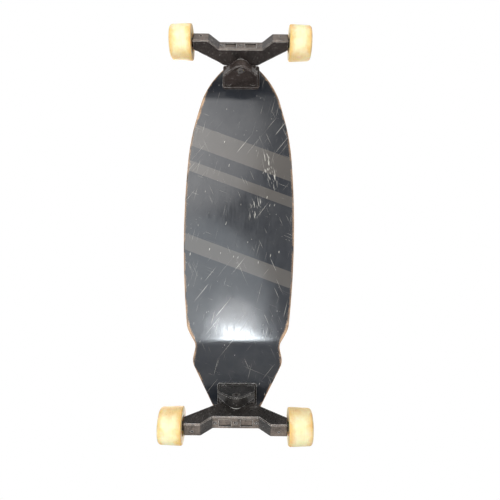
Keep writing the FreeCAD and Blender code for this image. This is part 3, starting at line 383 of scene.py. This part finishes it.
def deck_bare(g, upward):
    """1 where the lacquer is gone: along the rim, and where it has been knocked off beside it."""
    place = g.place()
    inward = g.openness(RIM_REACH, inside=True)
    rim = g.math("ADD", g.span(inward, 0.84, 0.48), g.span(upward, -0.97, -0.80))
    kept = g.noise(place, scale=19.0, detail=4.0, rough=0.65)
    rim = g.math("MULTIPLY", rim, g.span(kept, 0.42, 0.58, 0.34, 1.0))
    knocked = g.span(g.noise(place, scale=11.0, rough=0.6), 0.46, 0.62, 0.0, 0.2)
    for angle, spot, length in KNOCKED:
        knocked = g.math("MULTIPLY_ADD", around(g, angle, spot, length, KNOCKED_WIDTH), 0.5, knocked)
    knocked = g.math("MULTIPLY", knocked, g.span(inward, 0.96, 0.72))
    chips = g.noise(place, scale=70.0, detail=5.0, rough=0.68)
    return g.span(g.math("ADD", g.math("MULTIPLY_ADD", chips, 1.1, rim), knocked), 0.90, 1.06)


def deck_gloss(g, marks):
    """Roughness of the lacquer: smeared, hazed and lightly brushed along the board."""
    smear = g.noise(g.mapped(g.place(), (6, 20, 6), turn=12), detail=4.0, rough=0.6)
    hazed = g.noise(g.mapped(g.place(), (30, 60, 30), turn=-8), detail=5.0, rough=0.7)
    brushed = g.noise(slanted(g, angle=3, length=0.045, width=0.0030, seed=9.0), rough=0.6)
    gloss = g.math("MULTIPLY_ADD", marks, 0.3, g.span(smear, 0.3, 0.75, 0.10, 0.16))
    gloss = g.math("ADD", gloss, g.span(hazed, 0.35, 0.7, 0.0, 0.07))
    return g.math("ADD", gloss, g.span(brushed, 0.36, 0.66, -0.05, 0.04))


def bent_normal(g, upward):
    """Normal of the lower face with both bends as true arcs, where the mesh has them in a few facets."""
    along = g.split(g.place())["X"]
    body, kick = math.sin(LEAN), math.sin(KICK)
    tilts = []
    for bend_x, way, angle, low, high in ((NOSE_BEND_X, -1, KICK - LEAN, body, kick),
                                          (TAIL_BEND_X, 1, KICK + LEAN, -kick, body)):
        start = bend_x + way * BEND_RADIUS * math.tan(angle / 2) * math.cos(LEAN)
        arc = g.math("MULTIPLY_ADD", along, 1 / BEND_RADIUS, body - start / BEND_RADIUS)
        tilts.append(g.math("MINIMUM", g.math("MAXIMUM", arc, low), high))
    tilt = g.math("SUBTRACT", g.math("ADD", *tilts), body)
    fall = g.math("SQRT", g.math("MULTIPLY_ADD", tilt, g.math("MULTIPLY", tilt, -1.0), 1.0))
    arcs = g.join(tilt, 0.0, g.math("MULTIPLY", fall, -1.0))
    normal = g.mix(g.span(upward, -0.972, -0.986), g.normal(), arcs, "VECTOR")
    turned = g.add("ShaderNodeVectorTransform", vector_type="NORMAL", convert_from="OBJECT", convert_to="WORLD")
    return g.fill(turned, normal)[0]


def deck_material():
    g = material_graph("deck_lacquer_and_plies")
    place = g.place()
    upward = g.split(g.normal())["Z"]
    marks = deck_scratches(g)
    film = g.span(g.noise(place, scale=9.0, detail=8.0, rough=0.68), 0.36, 0.72, 0.0, 0.36)
    lacquer = g.mix(film, deck_bands(g), LACQUER_FILM)
    lacquer = g.mix(g.math("MULTIPLY", marks, 0.8), lacquer, SCRATCHED)
    bare = deck_bare(g, upward)
    grain = g.noise(g.mapped(place, (14, 14, 900)), rough=0.6)
    colour = g.mix(bare, lacquer, deck_plies(g, grain))
    stain = g.mix(g.span(grain, 0.3, 0.8), STAIN_DARK, STAIN_LIGHT)
    colour = g.mix(g.span(upward, 0.62, 0.8), colour, stain)
    rough = g.math("MULTIPLY_ADD", bare, 0.35, deck_gloss(g, marks), clamp=True)
    waves = g.math("MULTIPLY", g.noise(place, scale=5.0, detail=2.0), 0.6)
    relief = g.math("MULTIPLY_ADD", marks, -0.35, waves)
    normal = g.bump(relief, strength=0.12, depth=0.0008, under=bent_normal(g, upward))
    return g.finish(colour, rough, normal, Specular_IOR_Level=0.36)


def grip_material():
    """Dark abrasive grains, dusty where feet have stood."""
    g = material_graph("grip_abrasive")
    place = g.place()
    grit = g.cells(place, scale=1900.0)
    fine = g.noise(place, scale=2600.0, detail=2.0, rough=0.7)
    worn = g.span(g.noise(g.mapped(place, (5, 7, 5)), detail=4.0, rough=0.6), 0.46, 0.72)
    colour = g.mix(g.span(grit, 0.1, 0.6), GRIT_TOP, GRIT_PIT)
    colour = g.mix(g.math("MULTIPLY", worn, 0.55), colour, GRIP_DUST)
    glint = g.span(fine, 0.68, 0.74)
    colour = g.mix(glint, colour, GRIP_GLINT)
    rough = g.span(glint, 0.0, 1.0, 0.88, 0.45)
    return g.finish(colour, rough, g.bump(g.math("SUBTRACT", fine, grit), strength=0.55, depth=0.0006))


# Trucks: black paint over cast aluminium, worn bright on the edges with painted highlights there, dusty and made
# lighter as painted light on what faces down, with painted shade in the hollows

def casting_material(name, light, dark, dusty, scuffed, edged, gloss):
    g = material_graph(name)
    place = g.place()
    grain = g.noise(place, scale=620.0, rough=0.65)
    lumps = g.noise(place, scale=90.0, detail=4.0, rough=0.6)
    blotch = g.noise(place, scale=26.0, detail=5.0, rough=0.65)
    grit = g.noise(place, scale=240.0, detail=4.0, rough=0.7)

    edge = g.math("MULTIPLY", g.edges(CAST_EDGE, low=0.90, high=0.985), edged)
    # Bare metal worn through on the sharp edges, in a whiter colour than the other worn metal, so that it is also a
    # painted highlight along them.
    bare_edge_and_highlight = g.span(g.math("MULTIPLY_ADD", lumps, 0.7, edge), 0.74, 1.0)
    scuffs = g.math("MULTIPLY", g.span(lumps, 0.58, 0.72), g.span(blotch, 0.46, 0.66))
    # Small bare specks, which are also painted glints of light on the rough paint; with the scuffs they share the
    # worn colour.
    specks_and_glints = g.span(g.noise(place, scale=310.0, detail=2.0, rough=0.6), 0.63, 0.72)
    worn = g.math("MULTIPLY", g.most(scuffs, specks_and_glints), scuffed)

    normal = g.split(g.normal())
    # Dusty on the faces that look down at the road, and lighter there as painted light from below; faces that slope
    # sideways get less of it, as painted shade.
    downward = g.span(normal["Z"], -0.55, -0.95, 0.05, 1.0)
    level = g.span(g.math("ABSOLUTE", normal["Y"]), 0.12, 0.40, 1.0, 0.5)
    dust_and_light = g.math("MULTIPLY_ADD", lumps, 0.4, g.math("MULTIPLY_ADD", grit, 0.9, blotch))
    dust_and_light = g.math("MULTIPLY", g.span(dust_and_light, 0.82, 1.48, 0.12, 1.0), g.math("MULTIPLY", downward, level))
    dust_and_light = g.math("MULTIPLY", dust_and_light, dusty, clamp=True)
    # Painted shade: the casting's hollows, pockets and inner corners are darkened towards near black, by how
    # closely the piece itself surrounds them.
    painted_hollow_shade = g.math("MULTIPLY", g.span(g.openness(CAST_REACH), 0.9, 0.45), 0.85)

    colour = g.mix(g.span(blotch, 0.3, 0.7), dark, light)
    colour = g.mix(dust_and_light, colour, CAST_DUST_AND_LIGHT)
    colour = g.mix(g.math("MULTIPLY", worn, 0.9), colour, CAST_WORN_AND_GLINT)
    colour = g.mix(bare_edge_and_highlight, colour, CAST_BARE_EDGE_AND_HIGHLIGHT)
    colour = g.mix(painted_hollow_shade, colour, CAST_PAINTED_SHADE)
    rough = g.math("MULTIPLY_ADD", dust_and_light, 0.25, g.span(grain, 0.2, 0.8, 0.2, 0.38))
    metal = g.math("MULTIPLY", g.most(bare_edge_and_highlight, worn), 0.7)
    relief = g.math("MULTIPLY_ADD", grain, 0.35, g.math("MULTIPLY", lumps, 0.65))
    return g.finish(colour, rough, g.bump(relief, strength=0.4, depth=0.0007), metal, Specular_IOR_Level=gloss)


# Wheels: cream urethane, pale where it rolls, brown at the lips, and browner as painted shade on the side that
# faces the board's middle

def urethane_material():
    g = material_graph("urethane_cream")
    x, y, z = g.split(g.place())
    ahead = g.math("SUBTRACT", g.math("ABSOLUTE", x), AXLE_X)
    rise = g.math("SUBTRACT", z, AXLE_Z)
    squares = g.math("ADD", g.math("MULTIPLY", ahead, ahead), g.math("MULTIPLY", rise, rise))
    radius = g.math("SQRT", squares)
    round_x, round_z = (g.math("DIVIDE", part, radius) for part in (ahead, rise))
    width = g.math("SUBTRACT", g.math("ABSOLUTE", y), WHEEL_IN)
    width = g.math("DIVIDE", width, WHEEL_OUT - WHEEL_IN)

    wrapped = g.join(round_x, g.math("MULTIPLY", y, 400.0), round_z)
    wrapped = g.noise(wrapped, scale=3.0, detail=4.0, rough=0.7)
    rings = g.join(g.math("MULTIPLY", round_x, 0.6), g.math("MULTIPLY", y, 900.0),
                   g.math("MULTIPLY", round_z, 0.6))
    rings = g.noise(rings, detail=4.0, rough=0.6)
    cloud = g.noise(g.place(), scale=46.0, detail=5.0, rough=0.6)
    speck = g.math("MULTIPLY", g.span(g.cells(g.place(), scale=210.0), 0.16, 0.08), g.span(cloud, 0.5, 0.62))

    lip = g.math("MULTIPLY", g.math("ABSOLUTE", g.math("SUBTRACT", width, 0.5)), 2.0)
    ragged = g.math("ADD", lip, g.math("SUBTRACT", cloud, 0.50))
    # Painted shade as well as stain: each wheel is browner on the sector that faces the board's middle.
    inner_tone_and_shade = g.math("MULTIPLY_ADD", cloud, -0.6, g.math("ADD", round_x, 0.3))
    lip_stain_and_inner_shade = g.most(g.span(ragged, 0.22, 1.08), g.span(inner_tone_and_shade, -0.55, -1.10, 0.0, 0.75))
    tread = g.mix(g.span(cloud, 0.3, 0.7), CREAM, CREAM_DEEP)
    tread = g.mix(lip_stain_and_inner_shade, tread, BROWN_STAIN_AND_SHADE)
    tread = g.mix(g.math("MULTIPLY", g.span(rings, 0.52, 0.78), 0.35), tread, RING_STAIN)
    face = g.mix(g.span(cloud, 0.35, 0.72), FACE_PALE, FACE_BROWN)
    on_tread = g.span(radius, *TREAD_BLEND)
    colour = g.mix(on_tread, face, tread)
    colour = g.mix(g.math("MULTIPLY", speck, 0.6), colour, WHEEL_SPECK)

    rough = g.span(cloud, 0.2, 0.8, 0.42, 0.66)
    relief = g.math("ADD", g.math("MULTIPLY", rings, 0.5), g.math("MULTIPLY", wrapped, 0.5))
    relief = g.math("SUBTRACT", relief, g.math("MULTIPLY", speck, 0.8))
    return g.finish(colour, rough, g.bump(relief, strength=0.25, depth=0.0006), Subsurface_Weight=0.5,
                    Subsurface_Radius=GLOW_DEPTH, Subsurface_Scale=1.0, Specular_IOR_Level=0.25)


# Small metal and plastic pieces

def metal_material(name, light, dark, rough, rust=0.0):
    """Turned metal, clouded between two colours and two roughnesses, with a share of rust."""
    g = material_graph(name)
    place = g.place()
    turned = g.noise(g.mapped(place, (300, 2600, 300)), detail=2.0)
    cloud = g.noise(place, scale=120.0, detail=4.0, rough=0.6)
    colour = g.mix(g.span(cloud, 0.3, 0.75), light, dark)
    polish = g.span(turned, 0.25, 0.75, *rough)
    normal = g.bump(turned, strength=0.1, depth=0.0003)
    if not rust:
        return g.finish(colour, polish, normal, 1.0)
    stained = g.span(g.noise(place, scale=210.0, detail=5.0, rough=0.7), 0.55, 0.72)
    stained = g.math("MULTIPLY", stained, rust)
    colour = g.mix(stained, colour, RUST)
    polish = g.math("MULTIPLY_ADD", stained, 0.3, polish)
    return g.finish(colour, polish, normal, g.math("MULTIPLY_ADD", stained, -0.7, 1.0))


def plastic_material(name, light, dark):
    g = material_graph(name)
    place = g.place()
    cloud = g.noise(place, scale=70.0, detail=4.0, rough=0.6)
    grain = g.noise(place, scale=900.0, detail=2.0, rough=0.6)
    grime = g.span(g.noise(place, scale=150.0, detail=4.0, rough=0.65), 0.52, 0.7, 0.0, 0.5)
    colour = g.mix(grime, g.mix(cloud, light, dark), GRIME)
    return g.finish(colour, g.span(grain, 0.2, 0.8, 0.42, 0.62), g.bump(grain, strength=0.15, depth=0.0003))


dress(deck_material(), "deck")
dress(grip_material(), "grip_tape")
# The two baseplates share one paint: the front copy is made lighter as painted light and the rear copy darker as
# painted shade; the hangers differ the same way, by less.
dress(casting_material("casting_front_baseplate_painted_light", (0.066, 0.049, 0.043), (0.030, 0.023, 0.020),
                       dusty=0.12, scuffed=0.35, edged=0.58, gloss=0.14), "front_baseplate")
dress(casting_material("casting_rear_baseplate_painted_shade", (0.030, 0.027, 0.025), (0.0115, 0.0105, 0.0098),
                       dusty=0.08, scuffed=0.35, edged=0.60, gloss=0.14), "rear_baseplate")
dress(casting_material("casting_front_hanger", (0.024, 0.0172, 0.0155), (0.0092, 0.0070, 0.0064),
                       dusty=0.76, scuffed=0.25, edged=1.0, gloss=0.24), "front_hanger")
dress(casting_material("casting_rear_hanger", (0.019, 0.0165, 0.0155), (0.0075, 0.0068, 0.0065),
                       dusty=1.05, scuffed=0.3, edged=1.0, gloss=0.28), "rear_hanger")
dress(urethane_material(), *ending("_tyre"))
dress(plastic_material("nylon_hub", (0.62, 0.56, 0.42), (0.46, 0.40, 0.28)), *ending("_wheel_hub"))
dress(plastic_material("nylon_washer", (0.55, 0.53, 0.49), (0.42, 0.40, 0.36)), *ending("_thrust_washer"))
dress(metal_material("bearing_steel", (0.62, 0.62, 0.63), (0.42, 0.42, 0.43), rough=(0.16, 0.34), rust=0.25),
      *ending("_outer_races", "_ball_sets", "_inner_races"))
dress(metal_material("axle_steel", (0.56, 0.55, 0.54), (0.38, 0.37, 0.36), rough=(0.24, 0.44), rust=0.5),
      *ending("_axles"))
dress(metal_material("kingpin_steel", (0.20, 0.19, 0.185), (0.085, 0.08, 0.078), rough=(0.26, 0.46), rust=0.4),
      *ending("_kingpin"))
dress(metal_material("zinc_plate", (0.58, 0.58, 0.57), (0.36, 0.36, 0.36), rough=(0.28, 0.5), rust=0.55),
      *ending("_deck_bolts", "_kingpin_washer", "_kingpin_nut", "_axle_screws", "_speed_washers", "_axle_nut"))
dress(metal_material("spring_wire", (0.16, 0.16, 0.165), (0.07, 0.07, 0.072), rough=(0.26, 0.42), rust=0.2),
      *ending("_torsion_spring"))
dress(metal_material("spacer_alloy", (0.76, 0.76, 0.77), (0.6, 0.6, 0.61), rough=(0.24, 0.42)),
      *ending("_spacer"))
dress(metal_material("brass_insert", (0.72, 0.53, 0.22), (0.5, 0.34, 0.13), rough=(0.26, 0.46), rust=0.15),
      *ending("_threaded_inserts", "_pivot_bush"))


# Centring springs: each is drawn again from its solid, as a piece of its own

def winding_spring(end):
    """A copy of the spring's mesh, shown in place of the hidden CAD node."""
    piece = bpy.data.objects.new(f"{end}_spring_winding", nodes[f"{end}_torsion_spring"].data.copy())
    bpy.context.scene.collection.objects.link(piece)
    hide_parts(f"{end}_torsion_spring")
    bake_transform(piece)


winding_spring("front")
winding_spring("rear")


# Stage: the floor is seen from above only, so that the board can be looked at from below

def floor_material():
    """Pale from above, fading out round the board, and clear from below."""
    g = material_graph("floor_pale")
    x, y = g.split(g.place())[:2]
    away = g.math("SQRT", g.math("MULTIPLY_ADD", x, x, g.math("MULTIPLY", y, y)))
    behind = g.add("ShaderNodeNewGeometry").outputs["Backfacing"]
    clear = g.most(behind, g.span(away, FLOOR_FADE, FLOOR_HALF))
    diffuse = g.add("ShaderNodeBsdfDiffuse")
    g.fill(diffuse, g.mix(g.noise(g.place(), scale=3.0, detail=4.0), FLOOR_PALE, FLOOR_PALER))
    glass = g.add("ShaderNodeBsdfTransparent")
    return g.show(g.mix_shaders(clear, diffuse.outputs[0], glass.outputs[0]))


def make_floor():
    corners = [(x * FLOOR_HALF, y * FLOOR_HALF, 0) for x, y in ((-1, -1), (1, -1), (1, 1), (-1, 1))]
    mesh = bpy.data.meshes.new("floor")
    mesh.from_pydata(corners, [], [(0, 1, 2, 3)])
    mesh.materials.append(floor_material())
    floor = bpy.data.objects.new("floor", mesh)
    floor.location.z = -FLOOR_DROP
    bpy.context.scene.collection.objects.link(floor)
    floor.visible_diffuse = False
    floor.visible_glossy = False
    floor.visible_transmission = False
    floor.visible_shadow = False


def lamp(name, spot, target, size, power, spread=180.0, colour=WHITE, flat=1.0):
    """A round lamp, or an oval one that is flat in its second direction, with its spread in degrees."""
    light = bpy.data.lights.new(name, "AREA")
    light.shape = "ELLIPSE"
    light.size = size
    light.size_y = size * flat
    light.energy = power
    light.color = colour
    light.spread = math.radians(spread)
    holder = bpy.data.objects.new(name, light)
    turn = (Vector(target) - Vector(spot)).to_track_quat("-Z", "Y")
    holder.matrix_world = Matrix.Translation(spot) @ turn.to_matrix().to_4x4()
    bpy.context.scene.collection.objects.link(holder)


def make_world():
    """Soft light on the object, and plain white where the world itself is seen or mirrored."""
    world = bpy.data.worlds.new("studio")
    bpy.context.scene.world = world
    g = Graph(world)
    ray = g.add("ShaderNodeLightPath").outputs
    seen = g.most(ray["Is Camera Ray"], ray["Is Glossy Ray"], ray["Is Transmission Ray"])
    soft = g.fill(g.add("ShaderNodeBackground"), SKY, SKY_STRENGTH)[0]
    white = g.fill(g.add("ShaderNodeBackground"), WHITE, 1.0)[0]
    g.show(g.mix_shaders(seen, soft, white), "World")


def make_camera():
    """Looks straight up at the board, nose at the top, tilted and rolled by a few degrees."""
    ahead = Vector((math.sin(CAMERA_TILT), 0, math.cos(CAMERA_TILT)))
    up = Vector((math.cos(CAMERA_TILT), 0, -math.sin(CAMERA_TILT)))
    right = Vector((0, 1, 0))
    rolled_right = right * math.cos(CAMERA_ROLL) - up * math.sin(CAMERA_ROLL)
    rolled_up = right * math.sin(CAMERA_ROLL) + up * math.cos(CAMERA_ROLL)
    turn = Matrix((rolled_right, rolled_up, -ahead)).transposed()
    camera = bpy.data.cameras.new("photo_view")
    camera.sensor_width = SENSOR_MM
    camera.lens = SENSOR_MM * FOCAL_PIXELS / PHOTO_PIXELS
    camera.clip_start = CAMERA_NEAR
    camera.clip_end = CAMERA_FAR
    holder = bpy.data.objects.new("photo_view", camera)
    holder.matrix_world = Matrix.Translation(CAMERA_SPOT) @ turn.to_4x4()
    bpy.context.scene.collection.objects.link(holder)
    bpy.context.scene.camera = holder


make_floor()
make_world()
make_camera()

# Wide light from below and above
lamp("below_soft", (-0.4, -0.9, -1.5), MIDDLE, size=1.6, power=6.4)
lamp("below_fill", (0.25, 0.9, -1.5), MIDDLE, size=1.4, power=4.4)
lamp("above_key", (0.55, -0.75, 2.1), MIDDLE, size=1.5, power=36.0)
lamp("above_fill", (-0.7, 0.6, 2.0), MIDDLE, size=1.6, power=16.0)

# Reflections in the lacquer, along the body and at the tail bend
lamp("below_glow", (-0.13, -0.27, -1.0), (-0.12, 0.0, 0.09), size=0.8, power=7.0, colour=COOL)
lamp("below_sheen", (0.62, -0.25, -0.95), (0.24, 0.0, 0.09), size=0.7, power=0.42, spread=40.0)
lamp("below_halo", (-0.23, -0.035, -0.9), (-0.18, 0.0, 0.09), size=0.2, power=0.016, spread=24.0)
lamp("below_glint", (-0.375, -0.02, -1.0), (-0.235, 0.0, 0.09), size=0.22, power=0.03, spread=10.0, colour=COOL)
lamp("below_gleam", (-0.290, -0.026, -1.0), (-0.218, 0.0, 0.09), size=0.32, power=0.0050, spread=10.0, colour=COOL,
     flat=0.10)

scene = bpy.context.scene
scene.view_settings.view_transform = "Standard"
